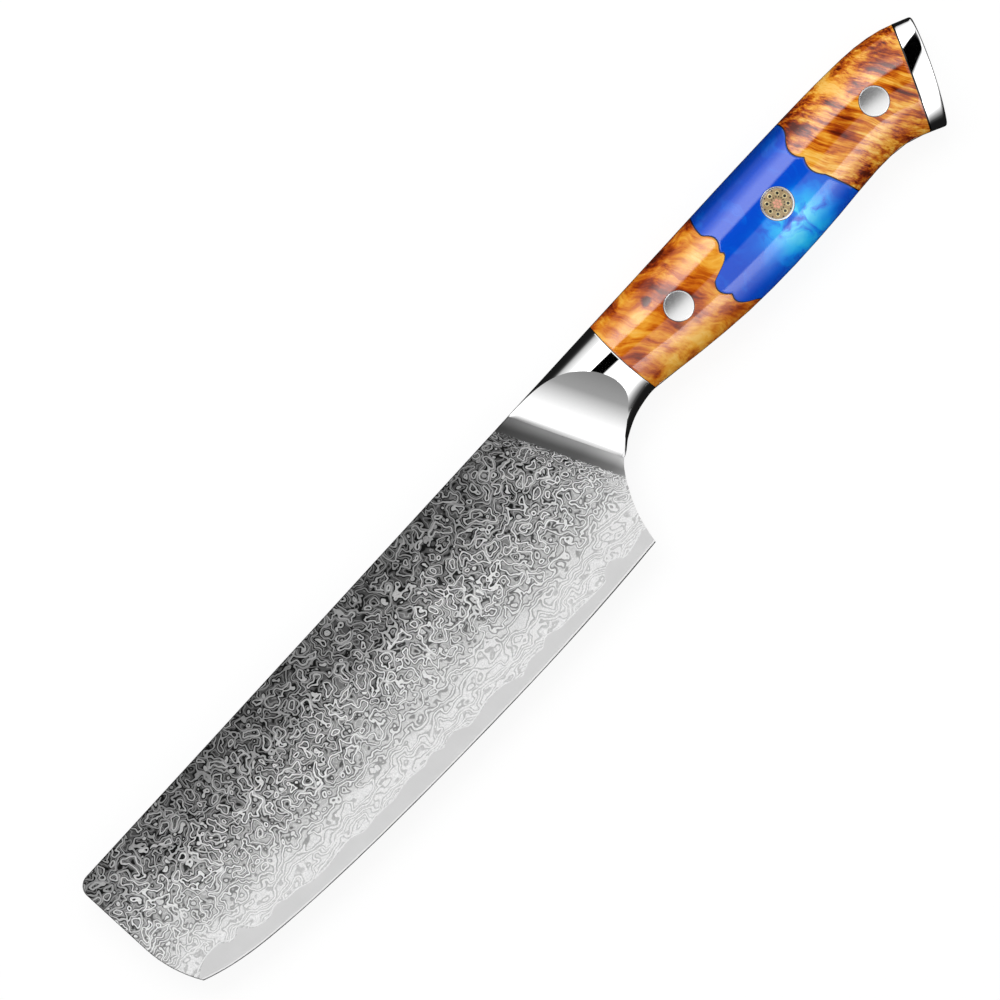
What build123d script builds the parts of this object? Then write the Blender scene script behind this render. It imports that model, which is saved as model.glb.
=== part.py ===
from build123d import *
from math import copysign, cos, radians, sin
import os

# A western-handled nakiri, in millimetres, lying on its right side with its left face up.
# Stations run back from the front of the blade, depths run down from the spine line, and
# heights run out of the left face from the middle of the blade's thickness.

# Play between pieces, and how far cutting shapes run past what they cut
fit = 0.05
overrun = 6.0

# Blade outline
edge_length = 167.0
blade_width = 51.2
front_corner_radius = 3.5
tip_corner_radius = 1.6
heel_corner_radius = 0.9

# Blade section: a flat-ground wedge over a thin hard core
spine_thickness = 2.3
front_spine_thickness = 2.0
edge_thickness = 0.6
core_thickness = 0.5
spine_chamfer = 0.25
bevel_width = 0.8
bevel_depth = 0.22

# Tongue of the blade that the bolster holds, measured along and behind the ramp line
tongue_length = 11.0
tongue_thickness = 1.3
tongue_top = 6.0
tongue_bottom = 22.0

# Bolster: a collar whose cheeks are scooped down to the blade
bolster_length = 31.3
ramp_lead = 2.0
ramp_lean = 23.2
ramp_radius = 28.5
neck_depth = 23.2
neck_thickness = 16.4
cheek_thickness = 14.2
cheek_widest = 9.4
neck_widest = 11.0
seam_radius = 80.0
seam_rise = 0.8

# Grip
grip_length = 115.7
grip_height = 28.45
grip_thickness = 19.0
tang_thickness = 2.5
front_tenon_length = 9.0
front_tenon_top = 5.0
front_tenon_bottom = 18.5

# End cap
cap_setback = 2.6
cap_lean = 27.3
cap_thickness = 5.7
cap_crown_radius = 183.0
cap_crown_depth = 15.2
cap_tenon_length = 2.6
cap_tenon_top = 11.0
cap_tenon_bottom = 28.0

# Cutler's rivets: a headed stud pressed into a headed socket
rivet_head_diameter = 8.0
rivet_shank_diameter = 5.0
rivet_stud_diameter = 3.2
rivet_head_seat = 4.2
rivet_end_gap = 0.3
shank_sides = 16

# Mosaic pin
pin_diameter = 8.8
pin_wall = 0.38
ring_circle_radius = 2.72
ring_tube_diameter = 1.34
ring_tube_bore = 0.86
ring_tube_count = 8
centre_rod_diameter = 0.88
centre_rod_count = 6
rod_gap = 0.04
rod_sides = 8
field_sides = 24

# Cutting edge from the tip to the heel: shares of the edge length and of the blade's width
nose_share = (0, 0.469)
tip_share = (0.0251, 0.793)
heel_share = (1, 0.9805)
edge_shares = [
    (0.090, 0.861), (0.180, 0.909), (0.300, 0.946), (0.449, 0.975), (0.599, 0.992),
    (0.805, 1.000),
]

# Heel and underside of the bolster: shares of the run from heel to grip and of the rise
choil_shares = [
    (0.020, 0.101), (0.061, 0.255), (0.116, 0.400), (0.193, 0.548), (0.269, 0.670),
    (0.359, 0.769), (0.518, 0.872), (0.684, 0.952), (0.850, 0.992),
]
ramp_foot_row = 5

# Line where the cladding is ground away to the core: shares of edge length and blade width
core_line_shares = [
    (0.014, 0.800), (0.048, 0.728), (0.086, 0.729), (0.104, 0.765), (0.122, 0.739),
    (0.140, 0.803), (0.170, 0.824), (0.185, 0.806), (0.205, 0.828), (0.228, 0.835),
    (0.250, 0.858), (0.287, 0.868), (0.320, 0.858), (0.345, 0.862), (0.365, 0.887),
    (0.395, 0.878), (0.431, 0.890), (0.467, 0.873), (0.503, 0.889), (0.524, 0.872),
    (0.542, 0.898), (0.573, 0.880), (0.593, 0.916), (0.617, 0.911), (0.640, 0.897),
    (0.677, 0.906), (0.708, 0.945), (0.734, 0.917), (0.761, 0.926), (0.776, 0.899),
    (0.798, 0.920), (0.844, 0.927), (0.903, 0.933), (0.928, 0.878), (0.948, 0.920),
    (0.967, 0.917), (0.998, 0.890), (1.030, 0.940), (1.060, 0.960),
]

# Grip sections: share of the way from the neck to the end, then top, bottom and thickness
grip_shares = [
    (0.130, 0.000, 0.900, 0.930), (0.270, 0.000, 0.972, 0.945), (0.417, 0.000, 0.998, 0.926),
    (0.565, 0.004, 0.988, 0.905), (0.696, 0.013, 0.965, 0.926), (0.783, 0.028, 0.998, 0.958),
    (0.861, 0.055, 1.132, 0.988), (0.930, 0.120, 1.285, 1.000), (1.009, 0.260, 1.410, 0.985),
]

# Joints between wood and resin: shares of the grip's length and height, top to bottom
front_joint_shares = [
    (0.345, -0.070), (0.325, 0.060), (0.319, 0.197), (0.334, 0.323), (0.317, 0.411),
    (0.296, 0.520), (0.266, 0.552), (0.254, 0.640), (0.271, 0.752), (0.268, 0.851),
    (0.290, 0.925), (0.313, 1.000), (0.318, 1.070),
]
rear_joint_shares = [
    (0.600, -0.070), (0.620, 0.056), (0.604, 0.162), (0.590, 0.257), (0.602, 0.394),
    (0.592, 0.492), (0.606, 0.640), (0.626, 0.880), (0.639, 1.070),
]

# Ends of the front and the rear block, past the bolster's seam and past the cap's face
grip_front_shares = [(-0.07, -0.07), (-0.08, 0.5), (-0.07, 1.07)]
grip_rear_shares = [(1.1, -0.07), (1.2, 0.5), (1.1, 1.5)]

# Rivet and pin centres: shares of the grip's length and height
front_rivet_share = (0.169, 0.469)
mosaic_pin_share = (0.486, 0.501)
rear_rivet_share = (0.800, 0.520)

# Flat ends of what the mosaic pin holds: share of the grip's half thickness
pin_face_share = 0.898

# Section roundness: 1 is an ellipse and 2 a parabola that comes to a keel
ellipse_power = 1.0
grip_power = 0.95
cheek_keel_power = 1.85
neck_keel_power = 1.10

# Fineness of the body's loft: sides in a quarter section, and spans from one row to the next
quarter_sides = 8
row_spans = 2

# Derived places
spine_y = blade_width / 2
middle_z = grip_thickness / 2
ramp_station = edge_length - ramp_lead
neck_station = ramp_station + bolster_length
overall_length = neck_station + grip_length
front_x = -overall_length / 2
heel_depth = blade_width * heel_share[1]
cap_station = overall_length - cap_setback
seam_depth = neck_depth / 2
reach = grip_thickness


def place(station, depth, height=0):
    """The point of the model at a station, a depth and a height."""
    return Vector(front_x + station, spine_y - depth, middle_z + height)


def at(station, depth):
    """The same station and depth in a side sketch."""
    return (station, -depth)


def side_plane(height=0):
    """Plane parallel to the blade, seen from the left."""
    return Plane(origin=place(0, 0, height), x_dir=(1, 0, 0), z_dir=(0, 0, 1))


def cross_plane(station):
    """Plane square to the spine: x runs down from the spine line, y to the left face."""
    return Plane(origin=place(station, 0), x_dir=(0, -1, 0), z_dir=(-1, 0, 0))


def leaning_plane(station, lean, height=0):
    """Side plane whose x axis runs back from a line that leans from the upright."""
    back = (cos(radians(lean)), sin(radians(lean)), 0)
    return Plane(origin=place(station, 0, height), x_dir=back, z_dir=(0, 0, 1))


def cutting_plane(station, lean):
    """Upright plane along that leaning line, facing back."""
    back = (cos(radians(lean)), sin(radians(lean)), 0)
    return Plane(origin=place(station, 0), x_dir=(0, 0, 1), z_dir=back)


def edge_point(share):
    return at(edge_length * share[0], blade_width * share[1])


def grip_point(share):
    return at(neck_station + grip_length * share[0], grip_height * share[1])


def choil_place(share):
    station = edge_length + (neck_station - edge_length) * share[0]
    return station, heel_depth - (heel_depth - neck_depth) * share[1]


def face_height(station, depth):
    """Height of the ground left face of the blade."""
    drop_along = (spine_thickness - front_spine_thickness) / 2 * (1 - station / edge_length)
    drop_down = (spine_thickness - edge_thickness) / 2 * depth / blade_width
    return spine_thickness / 2 - drop_along - drop_down


def face_point(station, depth):
    return place(station, depth, face_height(station, depth))


def section_points(top, bottom, widest, half_width, upper_power, lower_power):
    """Points round an oval whose widest point lies where it is told."""
    points = []
    for i in range(4 * quarter_sides):
        turn = radians(90 * i / quarter_sides)
        if sin(turn) > 0:
            end, power = top, upper_power
        else:
            end, power = bottom, lower_power
        depth = widest + (end - widest) * abs(sin(turn))
        points.append((depth, copysign(half_width * abs(cos(turn)) ** power, cos(turn))))
    return points


def eased_rows(rows):
    """Rows put between the given ones, on a fair curve through them."""
    last = len(rows) - 1
    slopes = []
    for i in range(last + 1):
        before = rows[max(i - 1, 0)]
        after = rows[min(i + 1, last)]
        slopes.append([(b - a) / (after[0] - before[0]) for a, b in zip(before, after)])
    eased = []
    for i in range(last):
        run = rows[i + 1][0] - rows[i][0]
        for step in range(row_spans):
            t = step / row_spans
            eased.append([
                a * (2 * t**3 - 3 * t**2 + 1) + b * (3 * t**2 - 2 * t**3)
                + run * (slope_a * (t**3 - 2 * t**2 + t) + slope_b * (t**3 - t**2))
                for a, b, slope_a, slope_b in zip(rows[i], rows[i + 1], slopes[i], slopes[i + 1])
            ])
    eased.append(rows[last])
    return eased


def arc_chain(spots):
    """Arcs through every third of the spots and the one between."""
    for i in range(0, len(spots) - 2, 2):
        ThreePointArc(*spots[i:i + 3])


pin_place = grip_point(mosaic_pin_share)
rivet_places = [grip_point(front_rivet_share), grip_point(rear_rivet_share)]

# Body of bolster, grip and cap: one oval loft that the pieces are cut from
body_rows = []
cheek_station, cheek_depth = choil_place(choil_shares[ramp_foot_row])
body_rows.append(
    (ramp_station - overrun, 0, cheek_depth, cheek_widest, cheek_thickness / 2,
     ellipse_power, cheek_keel_power)
)
for share in choil_shares[ramp_foot_row:] + [(1, 1)]:
    station, depth = choil_place(share)
    way = (station - cheek_station) / (neck_station - cheek_station)
    widest = cheek_widest + (neck_widest - cheek_widest) * way
    thickness = cheek_thickness + (neck_thickness - cheek_thickness) * way
    keel = cheek_keel_power + (neck_keel_power - cheek_keel_power) * way
    body_rows.append((station, 0, depth, widest, thickness / 2, ellipse_power, keel))
for way, top_share, bottom_share, thickness_share in grip_shares:
    top = grip_height * top_share
    bottom = grip_height * bottom_share
    body_rows.append(
        (neck_station + grip_length * way, top, bottom, (top + bottom) / 2,
         grip_thickness / 2 * thickness_share, grip_power, grip_power)
    )

with BuildPart() as body:
    for station, *oval in eased_rows(body_rows):
        with BuildSketch(cross_plane(station)):
            with BuildLine():
                Polyline(*section_points(*oval), close=True)
            make_face()
    loft(ruled=True)

# Blade, whole: outline, two ground faces, eased spine and cutting bevels
left_face = Plane(
    origin=face_point(edge_length, 0),
    x_dir=face_point(edge_length, 0) - face_point(0, 0),
    z_dir=(face_point(edge_length, blade_width) - face_point(edge_length, 0)).cross(
        face_point(edge_length, 0) - face_point(0, 0)
    ),
)
right_face = Plane(
    origin=place(edge_length, 0, -face_height(edge_length, 0)),
    x_dir=(left_face.x_dir.X, left_face.x_dir.Y, -left_face.x_dir.Z),
    z_dir=(left_face.z_dir.X, left_face.z_dir.Y, -left_face.z_dir.Z),
)
tongue_width = tongue_bottom - tongue_top

with BuildPart() as blade:
    with BuildSketch(side_plane()):
        with BuildLine():
            nose = edge_point(nose_share)
            tip = edge_point(tip_share)
            heel = edge_point(heel_share)
            neck = at(neck_station, neck_depth)
            Polyline(neck, at(neck_station, 0), at(0, 0), nose)
            TangentArc(nose, tip, tangent=(0, -1))
            Spline(tip, *[edge_point(share) for share in edge_shares], heel)
            Spline(heel, *[at(*choil_place(share)) for share in choil_shares], neck)
        outline = make_face()
        corners = outline.vertices()
        fillet(corners.sort_by_distance(at(0, 0))[0], front_corner_radius)
        fillet(corners.sort_by_distance(tip)[0], tip_corner_radius)
        fillet(corners.sort_by_distance(heel)[0], heel_corner_radius)
    extrude(amount=spine_thickness, both=True)
    split(bisect_by=left_face, keep=Keep.BOTTOM)
    split(bisect_by=right_face, keep=Keep.BOTTOM)
    split(bisect_by=cutting_plane(ramp_station, ramp_lean), keep=Keep.BOTTOM)
    spine_edges = blade.faces().sort_by(Axis.Y)[-1].edges().filter_by(
        lambda edge: edge.length > edge_length / 2
    )
    chamfer(spine_edges, spine_chamfer)
    edge_face = blade.faces().filter_by(GeomType.PLANE, reverse=True).sort_by(Axis.Y)[0]
    bevel_edges = edge_face.edges().filter_by(lambda edge: edge.length > edge_length / 2)
    chamfer(bevel_edges, bevel_depth, bevel_width, reference=edge_face)
    with BuildSketch(leaning_plane(ramp_station, ramp_lean)):
        with Locations((0, -tongue_top)):
            Rectangle(tongue_length, tongue_width, align=(Align.MIN, Align.MAX))
    extrude(amount=tongue_thickness / 2, both=True)

# Cladding: what lies outside the core, down to the wavy line where it is ground away
with BuildPart() as blade_cladding_left:
    add(blade.part)
    split(bisect_by=side_plane(core_thickness / 2), keep=Keep.TOP)
    with BuildSketch(side_plane()):
        with BuildLine():
            line = [edge_point(share) for share in core_line_shares]
            arc_chain(line)
            below = -blade_width - overrun
            Polyline(line[-1], (line[-1][0], below), (line[0][0] - overrun, below), line[0])
        make_face()
    extrude(amount=spine_thickness, mode=Mode.SUBTRACT)
blade_cladding_left.part.label = "blade_cladding_left"

with BuildPart() as blade_cladding_right:
    mirror(blade_cladding_left.part, about=side_plane())
blade_cladding_right.part.label = "blade_cladding_right"

with BuildPart() as blade_core:
    add(blade.part)
    add(blade_cladding_left.part, mode=Mode.SUBTRACT)
    add(blade_cladding_right.part, mode=Mode.SUBTRACT)
blade_core.part.label = "blade_core"

# Scoop that grinds each cheek down to the face of the blade
ramp_line = face_point(
    ramp_station + blade_width * sin(radians(ramp_lean)), blade_width * cos(radians(ramp_lean))
) - face_point(ramp_station, 0)
scoop_plane = Plane(
    origin=face_point(ramp_station, 0),
    x_dir=left_face.z_dir.cross(ramp_line),
    z_dir=ramp_line,
)

with BuildPart() as scoop:
    with BuildSketch(scoop_plane):
        with BuildLine():
            Line((-overrun, 0), (0, 0))
            CenterArc((0, ramp_radius), ramp_radius, -90, 90)
            Polyline((ramp_radius, ramp_radius), (-overrun, ramp_radius), (-overrun, 0))
        make_face()
    extrude(amount=blade_width, both=True)
    mirror(about=side_plane())

# Bolster
with BuildPart() as bolster:
    add(body.part)
    split(bisect_by=cutting_plane(ramp_station, ramp_lean), keep=Keep.TOP)
    add(scoop.part, mode=Mode.SUBTRACT)
    with BuildSketch(side_plane(-reach)):
        with Locations(at(neck_station + seam_radius - seam_rise, seam_depth)):
            Circle(seam_radius)
    extrude(amount=2 * reach, mode=Mode.SUBTRACT)
    with BuildSketch(leaning_plane(ramp_station, ramp_lean)):
        with Locations((-overrun, -tongue_top + fit)):
            Rectangle(
                overrun + tongue_length + fit, tongue_width + 2 * fit,
                align=(Align.MIN, Align.MAX),
            )
    extrude(amount=tongue_thickness / 2 + fit, both=True, mode=Mode.SUBTRACT)
    with BuildSketch(side_plane()):
        with Locations(at(neck_station + overrun, front_tenon_top - fit)):
            Rectangle(
                overrun + front_tenon_length + fit,
                front_tenon_bottom - front_tenon_top + 2 * fit,
                align=(Align.MAX, Align.MAX),
            )
    extrude(amount=tang_thickness / 2 + fit, both=True, mode=Mode.SUBTRACT)
bolster.part.label = "bolster"

# Grip blank between the bolster and the end cap
with BuildPart() as grip:
    add(body.part)
    split(bisect_by=cutting_plane(cap_station, -cap_lean), keep=Keep.BOTTOM)
    with BuildSketch(side_plane(-reach)):
        with Locations(at(neck_station + seam_radius - seam_rise, seam_depth)):
            Circle(seam_radius)
    extrude(amount=2 * reach, mode=Mode.INTERSECT)

# Tang: fills the middle of the grip and tenons into the bolster and the end cap
with BuildPart() as tang:
    add(grip.part)
    split(bisect_by=side_plane(tang_thickness / 2), keep=Keep.BOTTOM)
    split(bisect_by=side_plane(-tang_thickness / 2), keep=Keep.TOP)
    with BuildSketch(side_plane()):
        with Locations(at(neck_station + seam_rise, front_tenon_top)):
            Rectangle(
                front_tenon_length + seam_rise, front_tenon_bottom - front_tenon_top,
                align=(Align.MAX, Align.MAX),
            )
    extrude(amount=tang_thickness / 2, both=True)
    with BuildSketch(leaning_plane(cap_station, -cap_lean)):
        with Locations((0, -cap_tenon_top)):
            Rectangle(
                cap_tenon_length, cap_tenon_bottom - cap_tenon_top,
                align=(Align.MIN, Align.MAX),
            )
    extrude(amount=tang_thickness / 2, both=True)
    with BuildSketch(side_plane()):
        with Locations(*rivet_places):
            RegularPolygon(rivet_shank_diameter / 2 + fit, shank_sides)
        with Locations(pin_place):
            Circle(pin_diameter / 2 + fit)
    extrude(amount=tang_thickness, both=True, mode=Mode.SUBTRACT)
tang.part.label = "tang"

# End cap: crowned butt, slotted for the tang
with BuildPart() as end_cap:
    add(body.part)
    split(bisect_by=cutting_plane(cap_station, -cap_lean), keep=Keep.TOP)
    with BuildSketch(leaning_plane(cap_station, -cap_lean, -reach)):
        with Locations((cap_thickness - cap_crown_radius, -cap_crown_depth)):
            Circle(cap_crown_radius)
    extrude(amount=2 * reach, mode=Mode.INTERSECT)
    with BuildSketch(leaning_plane(cap_station, -cap_lean)):
        with Locations((-overrun, -cap_tenon_top + fit)):
            Rectangle(
                overrun + cap_tenon_length + fit, cap_tenon_bottom - cap_tenon_top + 2 * fit,
                align=(Align.MIN, Align.MAX),
            )
    extrude(amount=tang_thickness / 2 + fit, both=True, mode=Mode.SUBTRACT)
end_cap.part.label = "end_cap"

# Left scale, whole, with stepped holes for the rivets and a through hole for the pin
head_floor = tang_thickness / 2 + rivet_head_seat
with BuildPart() as left_scale:
    add(grip.part)
    split(bisect_by=side_plane(tang_thickness / 2), keep=Keep.TOP)
    with BuildSketch(side_plane(head_floor)):
        with Locations(*rivet_places):
            Circle(rivet_head_diameter / 2 + fit)
    extrude(amount=reach, mode=Mode.SUBTRACT)
    with BuildSketch(side_plane()):
        with Locations(*rivet_places):
            RegularPolygon(rivet_shank_diameter / 2 + fit, shank_sides)
        with Locations(pin_place):
            Circle(pin_diameter / 2 + fit)
    extrude(amount=reach, mode=Mode.SUBTRACT)


def scale_block(front_shares, rear_shares):
    """The stretch of the left scale between two joints, each listed from top to bottom."""
    front = [grip_point(share) for share in front_shares]
    rear = [grip_point(share) for share in rear_shares]
    with BuildPart() as block:
        add(left_scale.part)
        with BuildSketch(side_plane()):
            with BuildLine():
                arc_chain(front)
                arc_chain(rear)
                Line(front[0], rear[0])
                Line(front[-1], rear[-1])
            make_face()
        extrude(amount=reach, mode=Mode.INTERSECT)
    return block.part


blocks = {
    "front_wood": scale_block(grip_front_shares, front_joint_shares),
    "resin": scale_block(front_joint_shares, rear_joint_shares),
    "rear_wood": scale_block(rear_joint_shares, grip_rear_shares),
}

# Rivets: the left half is the socket, the right half the stud
rivets = []
for end, spot in zip(["front", "rear"], rivet_places):
    with BuildPart() as rivet_head:
        with BuildSketch(side_plane(head_floor)):
            with Locations(spot):
                Circle(rivet_head_diameter / 2)
        extrude(amount=reach)
        add(grip.part, mode=Mode.INTERSECT)

    with BuildPart() as rivet_socket:
        add(rivet_head.part)
        with BuildSketch(side_plane(head_floor)):
            with Locations(spot):
                RegularPolygon(rivet_shank_diameter / 2, shank_sides)
                RegularPolygon(rivet_stud_diameter / 2 + fit, shank_sides, mode=Mode.SUBTRACT)
        extrude(amount=rivet_end_gap - 2 * head_floor)
    rivet_socket.part.label = end + "_rivet_socket"
    rivets.append(rivet_socket)

    with BuildPart() as rivet_stud:
        mirror(rivet_head.part, about=side_plane())
        with BuildSketch(side_plane(-head_floor)):
            with Locations(spot):
                RegularPolygon(rivet_stud_diameter / 2, shank_sides)
        extrude(amount=2 * head_floor - rivet_end_gap)
    rivet_stud.part.label = end + "_rivet_stud"
    rivets.append(rivet_stud)

# Mosaic pin: a steel tube ground flush, with brass tubes and copper rods cast inside it
pin_x, pin_y = pin_place
pin_plane = Plane(origin=place(pin_x, -pin_y))
pin_face = grip_thickness / 2 * pin_face_share
field_radius = pin_diameter / 2 - pin_wall
centre_rod_radius = (centre_rod_diameter - rod_gap) / 2
ring_spots = PolarLocations(ring_circle_radius, ring_tube_count).local_locations
centre_spots = [Location((0, 0))] + PolarLocations(
    centre_rod_diameter, centre_rod_count
).local_locations

with BuildPart() as mosaic_tube:
    with BuildSketch(pin_plane):
        Circle(pin_diameter / 2)
        RegularPolygon(field_radius, field_sides, mode=Mode.SUBTRACT)
    extrude(amount=reach, both=True)
    add(grip.part, mode=Mode.INTERSECT)
mosaic_tube.part.label = "mosaic_tube"

with BuildPart() as mosaic_ring_tubes:
    with BuildSketch(pin_plane):
        with Locations(*ring_spots):
            RegularPolygon(ring_tube_diameter / 2, rod_sides)
            RegularPolygon(ring_tube_bore / 2, rod_sides, mode=Mode.SUBTRACT)
    extrude(amount=pin_face, both=True)
mosaic_ring_tubes.part.label = "mosaic_ring_tubes"

with BuildPart() as mosaic_ring_cores:
    with BuildSketch(pin_plane):
        with Locations(*ring_spots):
            RegularPolygon(ring_tube_bore / 2, rod_sides)
    extrude(amount=pin_face, both=True)
mosaic_ring_cores.part.label = "mosaic_ring_cores"

with BuildPart() as mosaic_centre_rods:
    with BuildSketch(pin_plane):
        with Locations(*centre_spots):
            RegularPolygon(centre_rod_radius, rod_sides)
    extrude(amount=pin_face, both=True)
mosaic_centre_rods.part.label = "mosaic_centre_rods"

with BuildPart() as mosaic_filler:
    with BuildSketch(pin_plane):
        RegularPolygon(field_radius, field_sides)
        with Locations(*ring_spots):
            RegularPolygon(ring_tube_diameter / 2, rod_sides, mode=Mode.SUBTRACT)
        with Locations(*centre_spots):
            RegularPolygon(centre_rod_radius, rod_sides, mode=Mode.SUBTRACT)
    extrude(amount=pin_face, both=True)
mosaic_filler.part.label = "mosaic_filler"

os.makedirs("parts", exist_ok=True)
for name, block in blocks.items():
    for side in ["left", "right"]:
        with BuildPart() as scale_piece:
            add(block)
            if side == "right":
                mirror(about=side_plane(), mode=Mode.REPLACE)
        scale_piece.part.label = name + "_" + side
        export_step(scale_piece.part, "parts/" + name + "_" + side + ".step")

steel = [blade_core, blade_cladding_left, blade_cladding_right, bolster, tang, end_cap]
pin = [mosaic_tube, mosaic_ring_tubes, mosaic_ring_cores, mosaic_centre_rods, mosaic_filler]
for piece in steel + rivets + pin:
    export_step(piece.part, "parts/" + piece.part.label + ".step")
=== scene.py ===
import math
import bmesh
import bpy
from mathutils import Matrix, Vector


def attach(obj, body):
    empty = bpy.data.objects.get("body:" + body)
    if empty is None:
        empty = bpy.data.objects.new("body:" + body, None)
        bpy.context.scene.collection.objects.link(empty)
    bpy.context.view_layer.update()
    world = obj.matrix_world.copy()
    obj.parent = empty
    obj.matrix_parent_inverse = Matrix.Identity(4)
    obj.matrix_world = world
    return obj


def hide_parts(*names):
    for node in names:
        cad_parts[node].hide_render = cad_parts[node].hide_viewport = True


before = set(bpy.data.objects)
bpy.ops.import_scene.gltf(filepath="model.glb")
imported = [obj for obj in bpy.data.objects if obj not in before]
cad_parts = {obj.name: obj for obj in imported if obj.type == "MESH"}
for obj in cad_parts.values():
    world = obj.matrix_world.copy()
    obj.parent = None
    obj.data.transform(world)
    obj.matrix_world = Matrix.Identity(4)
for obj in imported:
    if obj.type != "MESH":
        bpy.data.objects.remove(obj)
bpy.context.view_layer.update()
mm = 0.001

# Sizes shared with the solids. Stations run back from the front of the blade, depths run
# down from the spine line, and heights run out of the left face from the blade's middle.
overall_length = 312 * mm
edge_length = 167 * mm
blade_width = 51.2 * mm
spine_thickness = 2.3 * mm
front_spine_thickness = 2.0 * mm
edge_thickness = 0.6 * mm
bolster_length = 31.3 * mm
ramp_lead = 2 * mm
ramp_lean = math.radians(23.2)
ramp_radius = 28.5 * mm
heel_depth = 50.2 * mm
neck_depth = 23.2 * mm
neck_thickness = 16.4 * mm
cheek_thickness = 14.2 * mm
cheek_widest = 9.4 * mm
neck_widest = 11 * mm
body_lead = 6 * mm
seam_radius = 80 * mm
seam_rise = 0.8 * mm
grip_height = 28.45 * mm
grip_thickness = 19 * mm
tang_thickness = 2.5 * mm
cap_setback = 2.6 * mm
cap_lean = math.radians(27.3)
cap_thickness = 5.7 * mm
cap_crown_radius = 183 * mm
cap_crown_depth = 15.2 * mm
cap_centre_depth = cap_crown_depth + 3.5 * mm
cap_rim_radius = 0.9 * mm
rivet_diameter = 8 * mm
pin_diameter = 8.8 * mm
pin_wall = 0.38 * mm
ring_circle_radius = 2.72 * mm
ring_tube_diameter = 1.34 * mm
ring_tube_bore = 0.86 * mm
ring_tube_count = 8
centre_rod_diameter = 0.88 * mm
centre_rod_count = 6
rod_gap = 0.04 * mm
tube_collar = 0.09 * mm
# circles of small filler rods: radius of the circle, radius and number of the rods
filler_circles = [(1.78 * mm, 0.19 * mm, 2 * ring_tube_count), (3.62 * mm, 0.25 * mm, ring_tube_count)]

# Shape points as shares of the sizes above: (way along, rise) for the choil, (way along, top,
# bottom, thickness) for the grip's sections, and (way along, depth) for lines and spots
choil_shares = [(0.359, 0.769), (0.518, 0.872), (0.684, 0.952), (0.850, 0.992), (1, 1)]
grip_shares = [
    (0.130, 0.000, 0.900, 0.930), (0.270, 0.000, 0.972, 0.945), (0.417, 0.000, 0.998, 0.926),
    (0.565, 0.004, 0.988, 0.905), (0.696, 0.013, 0.965, 0.926), (0.783, 0.028, 0.998, 0.958),
    (0.861, 0.055, 1.132, 0.988), (0.930, 0.120, 1.285, 1.000), (1.009, 0.260, 1.410, 0.985),
]
front_joint_shares = [
    (0.345, -0.070), (0.325, 0.060), (0.319, 0.197), (0.334, 0.323), (0.317, 0.411),
    (0.296, 0.520), (0.266, 0.552), (0.254, 0.640), (0.271, 0.752), (0.268, 0.851),
    (0.290, 0.925), (0.313, 1.000), (0.318, 1.070),
]
rear_joint_shares = [
    (0.600, -0.070), (0.620, 0.056), (0.604, 0.162), (0.590, 0.257), (0.602, 0.394),
    (0.592, 0.492), (0.606, 0.640), (0.626, 0.880), (0.639, 1.070),
]
front_rivet_share = (0.169, 0.469)
mosaic_pin_share = (0.486, 0.501)
rear_rivet_share = (0.800, 0.520)
grip_power, cheek_keel_power, neck_keel_power = 0.95, 1.85, 1.10
core_line_shares = [
    (0.014, 0.800), (0.048, 0.728), (0.086, 0.729), (0.104, 0.765), (0.122, 0.739),
    (0.140, 0.803), (0.170, 0.824), (0.185, 0.806), (0.205, 0.828), (0.228, 0.835),
    (0.250, 0.858), (0.287, 0.868), (0.320, 0.858), (0.345, 0.862), (0.365, 0.887),
    (0.395, 0.878), (0.431, 0.890), (0.467, 0.873), (0.503, 0.889), (0.524, 0.872),
    (0.542, 0.898), (0.573, 0.880), (0.593, 0.916), (0.617, 0.911), (0.640, 0.897),
    (0.677, 0.906), (0.708, 0.945), (0.734, 0.917), (0.761, 0.926), (0.776, 0.899),
    (0.798, 0.920), (0.844, 0.927), (0.903, 0.933), (0.928, 0.878), (0.948, 0.920),
    (0.967, 0.917), (0.998, 0.890),
]
edge_shares = [
    (0.0251, 0.793), (0.090, 0.861), (0.180, 0.909), (0.300, 0.946), (0.449, 0.975), (0.599, 0.992),
    (0.805, 1.000), (1, 0.9805),
]

front_x = -overall_length / 2
spine_y = blade_width / 2
middle_z = grip_thickness / 2
ramp_station = edge_length - ramp_lead
neck_station = ramp_station + bolster_length
grip_length = overall_length - neck_station
cap_station = overall_length - cap_setback

# Fineness of the meshes and of the small reliefs that only show up close
column_step = 0.9 * mm
side_rows = 56
joint_rounds = 12
block_rounds = 4
cheek_rounds = 40
weld_distance = 0.0004 * mm
groove_depth = 0.07 * mm
groove_width = 0.20 * mm
# widths of the rings of painted shade round the rivets and the pin
rim_shade_inward = 0.10 * mm
rim_shade_outward = 0.13 * mm
rivet_dome = 0.08 * mm
disc_edge = 0.12 * mm
disc_sink = 0.9 * mm
small_disc_sink = 0.3 * mm
overlap = 0.02 * mm

# How far the flush discs stand out of the handle: each covers the ones before it
rim_shade_lift = 0.008 * mm
rivet_lift = 0.02 * mm
filler_lift = 0.02 * mm
core_lift = 0.028 * mm
collar_lift = 0.032 * mm
dot_lift = 0.034 * mm
rod_lift = 0.04 * mm
tube_lift = 0.045 * mm


def place(station, depth, height=0.0):
    return Vector((front_x + station, spine_y - depth, middle_z + height))


def grip_point(share):
    return neck_station + grip_length * share[0], grip_height * share[1]


# Sections of the body of bolster, grip and cap: station, top, bottom, widest, half width, powers

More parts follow.
